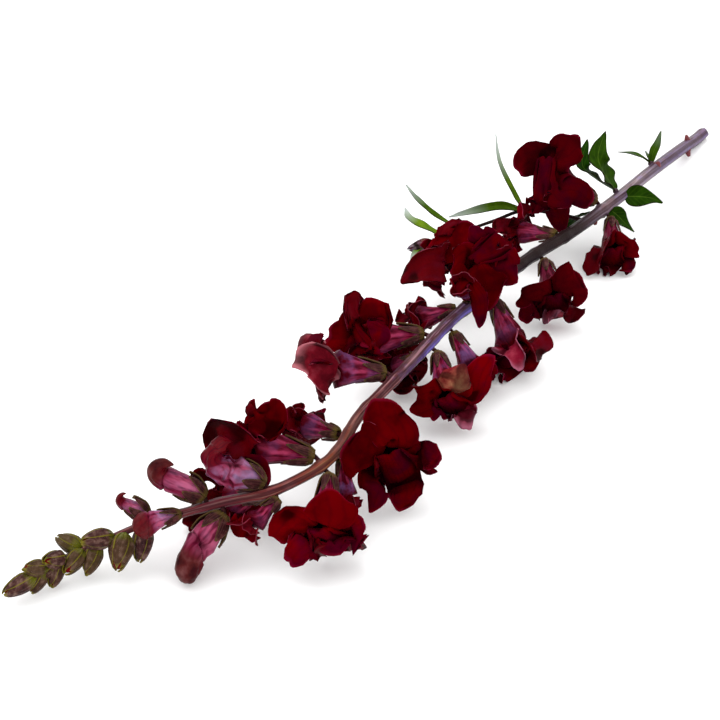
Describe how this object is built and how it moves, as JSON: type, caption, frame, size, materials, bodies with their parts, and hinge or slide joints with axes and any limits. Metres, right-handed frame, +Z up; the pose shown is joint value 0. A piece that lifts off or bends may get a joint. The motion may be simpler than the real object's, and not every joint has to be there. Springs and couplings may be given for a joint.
{
  "type": "snapdragon stem",
  "caption": "Cut snapdragon stem lying down: a bowed stem with a spike of closed buds, half-open buds, two-lipped dark crimson blooms and a few narrow leaves.",
  "frame": {"origin": "middle of the stem's outline on the surface it lies on", "axes": "+X along the stem towards the cut end, +Z up from the surface, +Y to the side the stem bows away from"},
  "size_m": [0.481, 0.1492, 0.0619],
  "materials": {
    "stem": "smooth, faintly ridged plant stem, red-brown at the tip to mauve at the cut",
    "buds": "closed buds, brown-purple sepals with yellow-green edges",
    "sepals": "soft olive-brown sepals with paler edges",
    "petals": "velvety dark crimson petals, pink-magenta tubes",
    "leaves": "satin green leaf with dark edges"
  },
  "bodies": {
    "root": {"stem": "stem", "bud_spike": "buds", "calyx_01": "sepals", "calyx_02": "sepals", "calyx_03": "sepals", "calyx_04": "sepals", "calyx_05": "sepals", "calyx_06": "sepals", "calyx_07": "sepals", "calyx_08": "sepals", "calyx_09": "sepals", "calyx_10": "sepals", "calyx_11": "sepals", "calyx_12": "sepals", "calyx_13": "sepals", "calyx_14": "sepals", "calyx_15": "sepals", "calyx_16": "sepals", "calyx_17": "sepals", "calyx_18": "sepals", "calyx_19": "sepals", "calyx_20": "sepals", "calyx_21": "sepals", "calyx_22": "sepals", "calyx_23": "sepals", "calyx_24": "sepals", "calyx_25": "sepals", "calyx_26": "sepals", "corolla_01": "petals", "corolla_02": "petals", "corolla_03": "petals", "corolla_04": "petals", "corolla_05": "petals", "corolla_06": "petals", "corolla_07": "petals", "corolla_08": "petals", "corolla_09": "petals", "corolla_10": "petals", "corolla_11": "petals", "corolla_12": "petals", "corolla_13": "petals", "corolla_14": "petals", "corolla_15": "petals", "corolla_16": "petals", "corolla_17": "petals", "corolla_18": "petals", "corolla_19": "petals", "corolla_20": "petals", "corolla_21": "petals", "corolla_22": "petals", "corolla_23": "petals", "corolla_24": "petals", "corolla_25": "petals", "corolla_26": "petals", "leaf_01": "leaves", "leaf_02": "leaves", "leaf_03": "leaves", "leaf_04": "leaves", "base_shoot": "leaves", "side_shoot": "leaves"}
  },
  "joints": []
}
